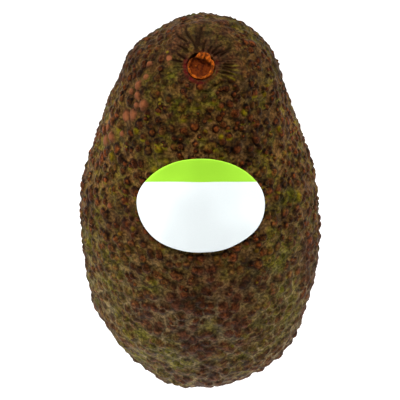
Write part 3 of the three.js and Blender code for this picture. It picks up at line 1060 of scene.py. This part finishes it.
@dataclass
class Skin:
    """The fruit itself: the smooth body with all of its relief, as one closed skin."""

    body: BodyForm
    ball: BallMap
    scar: ScarPlace
    pebbles: PebbleField
    furrows: Furrows
    point_count: int = 98000
    fine_ratio: float = 9.0
    fine_reach: float = 11.0
    fine_zone: float = 8.0
    crest: float = 0.8
    valley: float = -0.32
    crack: float = 0.3
    snap: float = 0.27
    clear: float = 0.2
    lump_height: float = 0.32
    eye_depth: float = 0.14
    patches: tuple[Patch, ...] = (
        Patch(Mark.GREEN, 96, 38, 6), Patch(Mark.GREEN, 116, 47, 7), Patch(Mark.GREEN, 109, 128, 5.5),
        Patch(Mark.GREEN, 106, 40, 7), Patch(Mark.GREEN, 124, 60, 7), Patch(Mark.GREEN, 136, 45, 7),
        Patch(Mark.GREEN, 106, 136, 7), Patch(Mark.GREEN, 117, 129, 7), Patch(Mark.GREEN, 124, 141, 6),
        Patch(Mark.GREEN, 91, 134, 5), Patch(Mark.GREEN, 128, 118, 6), Patch(Mark.GREEN, 97, 22, 6),
        Patch(Mark.GREEN, 112, 24, 7),
        Patch(Mark.GREEN, 95, 128, 4.5), Patch(Mark.GREEN, 34, 63, 1.8), Patch(Mark.GREEN, 42, 67, 2),
        Patch(Mark.GREEN, 62, 63, 3.5), Patch(Mark.GREEN, 66, 128, 3.5), Patch(Mark.GREEN, 86, 30, 3.5),
        Patch(Mark.GREEN, 9, 117, 3), Patch(Mark.GREEN, 79, 143, 3), Patch(Mark.GREEN, 41, 101, 1.4),
        Patch(Mark.GREEN, 132, 78, 6), Patch(Mark.GREEN, 99, 68, 3), Patch(Mark.GREEN, 135, 110, 5),
        Patch(Mark.PLUM, 95, 92, 5), Patch(Mark.PLUM, 111, 109, 5.5), Patch(Mark.PLUM, 123, 93, 5),
        Patch(Mark.PLUM, 81, 162, 4), Patch(Mark.PLUM, 98, 154, 5), Patch(Mark.PLUM, 83, 53, 4),
        Patch(Mark.PLUM, 113, 61, 3.5), Patch(Mark.PLUM, 123, 115, 3.5), Patch(Mark.PLUM, 104, 80, 5),
        Patch(Mark.PLUM, 134, 96, 5), Patch(Mark.PLUM, 101, 104, 5), Patch(Mark.PLUM, 116, 82, 4),
        Patch(Mark.DARK, 93, 113, 3.5), Patch(Mark.DARK, 98, 113, 3), Patch(Mark.DARK, 103, 88, 4),
        Patch(Mark.DARK, 57, 105, 4.5), Patch(Mark.DARK, 55, 77, 3.5), Patch(Mark.DARK, 52, 134, 4.5),
        Patch(Mark.DARK, 85, 20, 4), Patch(Mark.DARK, 14, 100, 5), Patch(Mark.DARK, 62, 120, 4),
        Patch(Mark.DARK, 53, 50, 11), Patch(Mark.DARK, 53, 129, 12, 0.95), Patch(Mark.DARK, 40, 97, 1.6),
        Patch(Mark.DARK, 20, 120, 8, 0.9), Patch(Mark.DARK, 77, 136, 9, 0.75), Patch(Mark.DARK, 81, 46, 8, 0.7),
        Patch(Mark.DARK, 50, 90, 1.4), Patch(Mark.DARK, 43, 110, 1.8), Patch(Mark.DARK, 38, 78, 1.6),
        Patch(Mark.DARK, 10, 88, 8), Patch(Mark.DARK, 76, 156, 9, 0.5),
    )
    neck_dark: float = 0.8
    neck_clear: Patch = Patch(Mark.DARK, 40, 90, 8, 0.32)

    def build(self, finish: SkinFinish, effects: Effects) -> bpy.types.Object:
        """Builds and dresses the fruit.

        Args:
            finish: The skin's finish.
            effects: The shared effects.

        Returns:
            The fruit.
        """
        flat, places = self._points()
        faces = self._faces(flat)
        polar, turn = self.ball.places(places)
        points = self.body.points(polar, turn)
        raised, marks = self._relief(points)
        laid = self.body.laid(raised)
        laid[:, 2] = np.maximum(laid[:, 2], 0)
        piece = mesh_object("avocado_fruit", laid, faces)
        for mark, values in marks.items():
            layer = piece.data.attributes.new(mark.value, "FLOAT", "POINT")
            layer.data.foreach_set("value", values.astype(np.float32))
        piece.data.materials.append(finish.material(effects))
        return piece

    def _ball_frame(self) -> tuple[Array, Array, Array]:
        """Directions of the ball with the scar as its pole."""
        pole = self.ball.directions(*self.body.angles(self.scar.middle[None]))[0]
        side = np.cross(pole, [0.0, 0.0, 1.0])
        side /= np.linalg.norm(side)
        return side, np.cross(pole, side), pole

    def _points(self) -> tuple[Array, Array]:
        """Spreads points over the ball: rings on every pebble, lines along every valley and more near the scar.

        Returns:
            The points on a plane that touches the ball at the scar, and their directions.
        """
        side, up, pole = self._ball_frame()
        frame_of = np.stack([side, up, pole])
        angle = np.linspace(0.0002, math.pi - 0.0002, 900)
        weight = np.zeros_like(angle)
        for azimuth in np.linspace(0, FULL_TURN, 36, endpoint=False):
            local = np.stack([np.sin(angle) * math.cos(azimuth), np.sin(angle) * math.sin(azimuth), np.cos(angle)], -1)
            polar, turn = self.ball.places(local @ frame_of)
            distance = self.scar.about(self.body.points(polar, turn))[0]
            density = 1 + (self.fine_ratio - 1) * bump(distance, 0, self.fine_reach)
            weight += self.ball.scale(polar) ** 2 * density * np.sin(angle)
        total = np.concatenate([[0], np.cumsum((weight[1:] + weight[:-1]) / 2)])
        number = np.arange(self.point_count)
        at = np.interp((number + 0.5) / self.point_count * total[-1], total, angle)
        turn_about = number * GOLDEN_TURN
        local = np.stack([np.sin(at) * np.cos(turn_about), np.sin(at) * np.sin(turn_about), np.cos(at)], -1)
        even = self.body.points(*self.ball.places(local @ frame_of))
        points = np.concatenate([self._valley_points(even), self._pebble_points()])
        places = self.ball.directions(*self.body.angles(points))
        local = places @ frame_of.T
        flat = local[:, :2] / (1 + np.maximum(local[:, 2:3], -0.9999999))
        return flat, places

    def _is_fine(self, points: Array) -> Array:
        """Whether points lie in the furrowed skin, which has points close together everywhere."""
        distance, turn, _ = self.scar.about(points)
        return (self.furrows.share(distance, turn) > 0.3) | (distance < self.fine_zone)

    def _valley_points(self, even: Array) -> Array:
        """Keeps the even points of the furrowed skin, and elsewhere those beside a valley, moved onto it."""
        fine = self._is_fine(even)
        _, _, border, direction = self.pebbles.nearest(even)
        moved = even + np.where(fine, 0, border)[:, None] * direction
        return moved[fine | (border < self.snap)]

    def _pebble_points(self) -> Array:
        """The rings of the pebbles, where they stay clear of the valleys and of the furrowed skin."""
        points = self.pebbles.rings(((0.45, 6), (0.9, 10), (1.3, 10)))
        owner = np.tile(np.arange(self.pebbles.count), len(points) // self.pebbles.count)
        own, _, border, _ = self.pebbles.nearest(points)
        return points[(own == owner) & (border > self.clear) & ~self._is_fine(points)]

    def _faces(self, flat: Array) -> list[tuple[int, ...]]:
        """Joins the points on the plane with triangles and closes the far side.

        Args:
            flat: Points on the plane.

        Returns:
            Triangles that face outwards.
        """
        _, _, found, _, _, _ = delaunay_2d_cdt([Vector(point) for point in flat.tolist()], [], [], 0, 1e-12, False)
        faces = [tuple(face) for face in found]
        edges = {}
        for a, b, c in faces:
            for edge in ((a, b), (b, c), (c, a)):
                edges[edge] = True
        rim = {a: b for a, b in edges if (b, a) not in edges}
        start = next(iter(rim))
        loop = [start]
        while rim[loop[-1]] != start:
            loop.append(rim[loop[-1]])
        faces += [(loop[0], loop[i + 1], loop[i]) for i in range(1, len(loop) - 1)]
        return faces

    def _relief(self, points: Array) -> tuple[Array, dict[Mark, Array]]:
        """Raises the skin's relief and marks it for the finish.

        Args:
            points: Points of the smooth body.

        Returns:
            The raised points, and the value of every mark at each.
        """
        distance, turn, from_axis = self.scar.about(points)
        furrowed = self.furrows.share(distance, turn)
        groove = self.furrows.depth(distance, turn)
        own, inside, border, _ = self.pebbles.nearest(points)
        blossomward = smooth(-15, 35, points[:, 1])
        ragged = 1 + (0.1 + 0.25 * blossomward) * Waves(1.0, 2.6, 61).at(points)
        dome = np.exp(-((inside * ragged / self.pebbles.reach[own]) ** 2.4) * 0.9)
        patchy = smooth(-0.6, 0.5, Waves(5, 14, 41).at(points))
        # Pale net between the pebbles: paler skin with painted sheen, mostly towards the blossom end.
        net = bump(border, 0, 0.35) * (0.2 + 0.7 * blossomward) * (0.15 + 0.85 * patchy)
        eye = self.pebbles.eye[own] * (1 - furrowed)
        eye_dip = self.eye_depth * eye * (bump(inside, 0.5, 0.25) - 0.3 * bump(inside, 0, 0.3))
        flank = 1 - smooth(0.3, 0.8, points[:, 2] / self.body.belly_radius * 2)
        crest = self.pebbles.crest[own] * (1 - 0.55 * flank * smooth(5, -45, points[:, 1]))
        crest = crest * (1 - 0.1 * blossomward + 0.35 * smooth(36, 56, points[:, 1]))
        crack = self.crack * (1 - 0.7 * blossomward) * bump(border, 0, 0.35)
        pebble = self.valley + self.crest * crest * dome - crack - eye_dip
        # Painted shade at each pebble's foot: a dark ring round its edge and a painted shadow crescent on its tipward
        # side.
        below = (points - self.pebbles.sites[own])[:, 1] / self.pebbles.reach[own]
        beside = bump(inside / self.pebbles.reach[own], 0.95, 0.4) * smooth(0.2, 0.7, -below)
        ring_shade = bump(inside * ragged / self.pebbles.reach[own], 0.95, 0.25)
        foot_shade = np.maximum((0.65 + 0.35 * self.pebbles.tone[own]) * ring_shade, beside) * (1 - 0.4 * blossomward)
        # Lime crescent on the blossomward side of some pebbles: lime-coloured skin, placed as a painted lit side
        # opposite the painted shadow crescent.
        crescent = smooth(0.35, 0.75, below) * bump(inside / self.pebbles.reach[own], 0.85, 0.4)
        limed = self.pebbles.lime[own]
        lime = limed * np.where(limed > 0.88, 0.45 * smooth(0.3, 0.75, dome), crescent)
        lime = lime * (1 - smooth(-25, 10, points[:, 1])) * smooth(-52, -42, points[:, 1])
        streak = self.furrows.streak(turn)
        ridge = 0.16 * Waves(2.0, 4.5, 31).at(points) + 0.15 * (streak - 0.5) - groove + 0.1
        lumps = self.lump_height * Waves(7, 18, 23).at(points)
        hollow = -self.scar.hollow_depth * bump(distance, 0, self.scar.hollow_radius)
        height = hollow + lumps + (1 - furrowed) * pebble + furrowed * ridge
        raised = points + height[:, None] * self.body.normals(points)
        sunk = 1 - smooth(self.scar.socket_radius - 0.25, self.scar.socket_radius + 0.05, from_axis)
        raised = raised - (self.scar.socket_depth * sunk)[:, None] * self.scar.out
        marks = {
            Mark.CREST: (1 - furrowed) * dome + furrowed * np.clip(0.6 - groove, 0, 1),
            Mark.TONE: self.pebbles.tone[own] * (1 - furrowed) * (1 - 0.4 * blossomward) + streak * furrowed,
            Mark.FOOT_SHADE: foot_shade * (1 - furrowed),
            Mark.BLOSSOM: blossomward,
            Mark.EYE: eye * np.clip(1 - inside / 0.85, 0, 1),
            Mark.NET_SHEEN: net * (1 - furrowed),
            Mark.LIME: np.maximum(lime * (1 - furrowed), self.furrows.stripe(distance, turn)),
            Mark.GREEN: self._stain(points, Mark.GREEN, 51),
            Mark.PLUM: self._stain(points, Mark.PLUM, 52),
            Mark.DARK: np.maximum(self._stain(points, Mark.DARK, 53), self._neck_mark(points)),
            Mark.SCUFF: self.pebbles.scuffed[own] * smooth(0.3, 0.65, dome),
            Mark.HALO: self._halo_mark(distance, turn),
            Mark.FURROWED: furrowed,
            Mark.GROOVE_SHADE: np.clip(groove / 0.3, 0, 1) * furrowed,
            Mark.SOCKET_SHADOW: sunk,
        }
        return raised, marks

    def _stain(self, points: Array, tint: Mark, seed: int) -> Array:
        """Marks the patches of one tint, and strews more of them where none is listed."""
        strewn = smooth(0.15, 0.75, Waves(11, 26, seed).at(points))
        mark = 0.7 * strewn * smooth(0.6, 0.9, np.abs(self.body.angles(points)[1] - math.pi / 2) / math.pi * 1.6)
        for patch in self.patches:
            if patch.tint is tint:
                mark = np.maximum(mark, self._patch_mark(points, patch))
        return mark

    def _patch_mark(self, points: Array, patch: Patch) -> Array:
        """How strongly a patch stains each point."""
        middle = self.body.points(np.radians([patch.polar]), np.radians([patch.turn]))
        away = np.linalg.norm(points - middle, axis=-1)
        return patch.strength * bump(away, 0, patch.radius * 1.15)

    def _neck_mark(self, points: Array) -> Array:
        """Darkens the neck, and the middle of its upper side a little less."""
        return self.neck_dark * smooth(-25, -50, points[:, 1]) * (1 - self._patch_mark(points, self.neck_clear))

    def _halo_mark(self, distance: Array, turn: Array) -> Array:
        """Marks the crimson ring around the scar, which fades towards the neck's tip."""
        ring = smooth(3.6, 3.9, distance) * (1 - smooth(5.0, 6.0, distance))
        below = smooth(0.9, 0.2, np.sin(turn))
        leftward = smooth(0.6, -0.6, np.cos(turn))
        return ring * (0.25 + 0.75 * below) * (0.55 + 0.45 * leftward)


@dataclass
class StemStub:
    """The dried stub in the stem's socket: a cup with an uneven rim and a torn flap."""

    body: BodyForm
    scar: ScarPlace
    outer: float = 3.95
    inner: float = 3.35
    rim_height: float = 0.15
    hollow: float = 1.1
    tear_turn: float = math.radians(66)
    tear_height: float = 0.75
    around: int = 144
    seed: int = 3

    def build(self, finish: DriedStemFinish, effects: Effects) -> bpy.types.Object:
        """Builds and dresses the stub.

        Args:
            finish: The stub's finish.
            effects: The shared effects.

        Returns:
            The stub.
        """
        turn = np.linspace(0, FULL_TURN, self.around, endpoint=False)
        tear = np.exp(2.2 * (np.cos(turn - self.tear_turn) - 1))
        edge = self._ragged(turn, 0.09, 5) - 0.35 * bump(turn_gap(turn, math.radians(-45)), 0, 0.7)
        outside = self.outer + 0.5 * self._ragged(turn, 0.1, 6)
        outside = outside - 0.7 * bump(turn_gap(turn, math.radians(124)), 0, 0.36)
        outside = outside - 0.55 * bump(turn_gap(turn, math.radians(34)), 0, 0.16)
        lean = 0.3 * tear ** 2
        inside = self.inner + edge - 1.35 * tear
        top = -self.scar.hollow_depth + self.rim_height + self.tear_height * tear + self._ragged(turn, 0.12, 8)
        floor = -self.scar.hollow_depth + self.rim_height - self.hollow
        bottom = -self.scar.hollow_depth - self.scar.socket_depth + 0.35
        profile = [(share * inside, np.full_like(turn, floor), 0.0) for share in (0.1, 0.2, 0.3, 0.4, 0.5)]
        profile += [
            (inside * (0.9 - 0.3 * tear), np.full_like(turn, floor + 0.12), 0.1),
            (inside * (0.97 - 0.2 * tear), floor + 0.45 * (top - floor), 0.45),
            (inside + 0.02 + 0.5 * lean, floor + 0.85 * (top - floor), 0.85),
            (inside + 0.14 + 0.8 * lean, top - 0.03, 1.0),
            (inside * 0.6 + outside * 0.4 + lean, top + 0.03, 1.0),
            (inside * 0.25 + outside * 0.75 + lean, top - 0.02, 0.9),
            (outside - 0.06 + lean, top - 0.14, 0.7),
            (outside + 0.5 * lean, top - 0.4, 0.4),
            (outside - 0.05, np.full_like(turn, floor - 0.2), 0.1),
            (outside - 0.2, np.full_like(turn, bottom), 0.0),
        ]
        rings = [self.scar.on_axis(radius, turn, height) for radius, height, _ in profile]
        rings = [ring + 0.09 * Waves(0.6, 1.6, self.seed).at(ring)[:, None] * self.scar.out for ring in rings]
        zero = np.zeros(1)
        start = self.scar.on_axis(zero, zero, np.array([floor]))
        end = self.scar.on_axis(zero, zero, np.array([bottom]))
        points = np.concatenate([start, *rings, end])
        piece = mesh_object("stem_stub_torn", self.body.laid(points), ring_faces(len(rings), self.around))
        # Painted shade on the stub's upper left: the rim mark is lowered there, so that side takes the hollow's darker
        # colour.
        burnt_and_shade = 1 - 0.4 * bump(turn_gap(turn, math.radians(155)), 0, 0.6)
        rim = np.concatenate([[0.0], *[share * burnt_and_shade for _, _, share in profile], [0.0]])
        layer = piece.data.attributes.new("rim", "FLOAT", "POINT")
        layer.data.foreach_set("value", rim.astype(np.float32))
        piece.data.materials.append(finish.material(effects))
        return piece

    def _ragged(self, turn: Array, size: float, waves: int) -> Array:
        """A closed uneven line about the rim."""
        draw = np.random.default_rng(self.seed + waves)
        total = np.zeros_like(turn)
        for i in range(2, waves + 8):
            total += np.sin(i * turn + draw.uniform(0, FULL_TURN)) * draw.uniform(0.4, 1)
        return size * total / 2


@dataclass
class Sticker:
    """The oval sticker: a thin closed sheet that follows the fruit on the crests of its pebbles."""

    body: BodyForm
    width: float = 36.4
    height: float = 27.0
    thickness: float = 0.12
    clearance: float = 0.8
    lean: float = math.radians(30)
    middle: float = -1.5
    rings: int = 30
    around: int = 192

    def build(self, finish: StickerFinish, effects: Effects) -> bpy.types.Object:
        """Builds and dresses the sticker.

        Args:
            finish: The sticker's finish.
            effects: The shared effects.

        Returns:
            The sticker.
        """
        shares = np.linspace(0, 1, self.rings + 1)[1:]
        over = self.clearance + self.thickness
        upper = [self._ring(share, over) for share in shares]
        lower = [self._ring(share, self.clearance) for share in shares[::-1]]
        start, end = self._ring(0.0, over)[:1], self._ring(0.0, self.clearance)[:1]
        points = np.concatenate([start, *upper, *lower, end])
        faces = ring_faces(2 * self.rings, self.around)
        piece = mesh_object("oval_sticker", self.body.laid(points), faces)
        turn = np.linspace(0, FULL_TURN, self.around, endpoint=False)
        rise = [0.5 + 0.5 * share * np.sin(turn) for share in (*shares, *shares[::-1])]
        layer = piece.data.attributes.new("rise", "FLOAT", "POINT")
        layer.data.foreach_set("value", np.concatenate([[0.5], *rise, [0.5]]).astype(np.float32))
        piece.data.materials.append(finish.material(effects))
        return piece

    def _ring(self, share: float, height: float) -> Array:
        """One oval ring of the sheet.

        Args:
            share: Its size as a share of the sticker's.
            height: How far it stands over the smooth body.

        Returns:
            Its points in the body's own frame.
        """
        turn = np.linspace(0, FULL_TURN, self.around, endpoint=False)
        pressed = np.array([0.0, -math.sin(self.lean), math.cos(self.lean)])
        across = np.array([-1.0, 0.0, 0.0])
        tipward = np.cross(pressed, across)
        side = share * self.width / 2 * np.cos(turn)
        up = self.middle + share * self.height / 2 * np.sin(turn)
        flat = side[:, None] * across + up[:, None] * tipward + self.body.belly_radius * pressed
        points = self.body.dropped(flat, pressed)
        lumps = 0.32 * Waves(7, 18, 23).at(points)
        return points + (height + lumps)[:, None] * self.body.normals(points)


@dataclass
class Studio:
    """Pale table, soft lights and the camera."""

    target: tuple[float, float, float] = (0.00022, -0.00325, 0.03255)
    elevation: float = math.radians(51)
    distance: float = 1.0
    frame_width: float = 0.12
    sensor: float = 36.0
    table_size: float = 6.0

    def build(self, finish: FloorFinish) -> None:
        """Adds the table, the lights, the surroundings and the camera."""
        self._table(finish)
        self._surroundings()
        self._lamp("left softbox", (0.85, 0.12, 0.2), 0.5, 5.6)
        self._lamp("right softbox", (-0.85, 0.12, 0.2), 0.5, 5.4)
        self._lamp("back softbox", (0.1, 0.85, 0.4), 0.8, 11.8)
        self._lamp("front softbox", (0.05, -0.85, 0.25), 0.2, 8.6)
        self._camera()

    def _table(self, finish: FloorFinish) -> None:
        """Adds the table top."""
        half = self.table_size / 2
        corners = np.array([[-half, -half, 0], [half, -half, 0], [half, half, 0], [-half, half, 0]])
        table = mesh_object("table", corners, [(0, 1, 2, 3)], False)
        table.data.materials.append(finish.material())

    def _surroundings(self) -> None:
        """Lights the surroundings: white at table height and dim overhead."""
        world = bpy.data.worlds.new("studio")
        world.use_nodes = True
        bpy.context.scene.world = world
        bench = Bench(world.node_tree)
        split = bench.node("ShaderNodeSeparateXYZ")
        bench.put(split.inputs[0], bench.node("ShaderNodeTexCoord").outputs["Generated"])
        level = bench.rise(split.outputs["Z"], 0.02, 0.4, 0.55, 0.04)
        bench.put(world.node_tree.nodes["Background"].inputs["Strength"], level)
        world.node_tree.nodes["Background"].inputs["Color"].default_value = (1, 1, 1, 1)

    def _lamp(self, name: str, place: tuple[float, float, float], size: float, power: float) -> None:
        """Adds one soft light that faces the fruit.

        Args:
            name: The light's name.
            place: Where it stands, in metres.
            size: Side of its square face.
            power: Its power in watts.
        """
        light = bpy.data.lights.new(name, "AREA")
        light.size = size
        light.energy = power
        lamp = bpy.data.objects.new(name, light)
        lamp.location = place
        lamp.rotation_euler = (Vector(self.target) - Vector(place)).to_track_quat("-Z", "Y").to_euler()
        bpy.context.scene.collection.objects.link(lamp)

    def _camera(self) -> None:
        """Adds the camera, turned so that the stem end is at the top of the picture."""
        data = bpy.data.cameras.new("camera")
        data.sensor_width = self.sensor
        data.lens = self.sensor * self.distance / self.frame_width
        camera = bpy.data.objects.new("camera", data)
        back = Vector((0, -math.cos(self.elevation), math.sin(self.elevation)))
        up = Vector((0, -math.sin(self.elevation), -math.cos(self.elevation)))
        right = up.cross(back)
        rotation = Matrix((right, up, back)).transposed().to_4x4()
        camera.matrix_world = Matrix.Translation(Vector(self.target) + back * self.distance) @ rotation
        bpy.context.scene.collection.objects.link(camera)
        bpy.context.scene.camera = camera


def stand_in(piece: bpy.types.Object, node: str) -> None:
    """Makes a piece stand for a solid of the part and reports it.

    Args:
        piece: The dressed piece.
        node: The solid that it replaces.
    """
    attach(piece, "root")
    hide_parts(node)
    LOG.info("%s: %d points, %d faces", piece.name, len(piece.data.vertices), len(piece.data.polygons))


def main() -> None:
    """Builds the fruit, its stub and its sticker, and the studio around them."""
    logging.basicConfig(level=logging.INFO, format="%(name)s: %(message)s")
    body = BodyForm()
    ball = BallMap(body)
    scar = ScarPlace(body)
    effects = Effects()
    skin = Skin(body, ball, scar, PebbleField(ball), Furrows(scar))
    stand_in(skin.build(SkinFinish(), effects), "fruit")
    stand_in(StemStub(body, scar).build(DriedStemFinish(), effects), "stem_stub")
    stand_in(Sticker(body).build(StickerFinish(), effects), "sticker")
    Studio().build(FloorFinish())
    bpy.context.scene.view_settings.view_transform = "Standard"
    bpy.context.view_layer.update()


if __name__ == "__main__":
    main()
